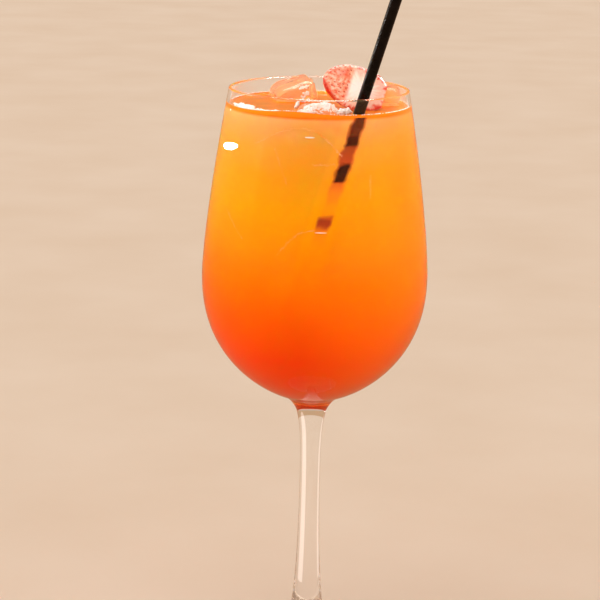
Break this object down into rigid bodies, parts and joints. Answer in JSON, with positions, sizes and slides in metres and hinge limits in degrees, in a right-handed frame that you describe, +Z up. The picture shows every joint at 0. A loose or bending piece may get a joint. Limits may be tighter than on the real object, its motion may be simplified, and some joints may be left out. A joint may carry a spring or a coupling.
{
  "type": "cocktail in a stemmed glass",
  "caption": "Layered orange fruit cocktail in a tall stemmed glass, with a leaning straw, ice cubes and half a strawberry at the top.",
  "frame": {"origin": "centre of the flat underside of the glass's foot", "axes": "+Z up along the stem, -Y towards the front, where the straw and the cut face of the strawberry are, +X to the right as seen from the front"},
  "size_m": [0.09, 0.1059, 0.3124],
  "materials": {
    "clear_glass": "clear drawn and blown glass, fire-polished",
    "fruit_drink": "cloudy fruit drink, yellow-orange above and red-orange below",
    "black_plastic": "extruded black plastic, glossy",
    "strawberry": "wet cut fruit, pale flesh inside a red skin",
    "clear_ice": "clear melting ice"
  },
  "bodies": {
    "root": {"glass": "clear_glass", "drink": "fruit_drink", "straw": "black_plastic", "strawberry_half": "strawberry", "ice_cube_back": "clear_ice", "ice_cube_front": "clear_ice", "ice_cube_side": "clear_ice"}
  },
  "joints": []
}
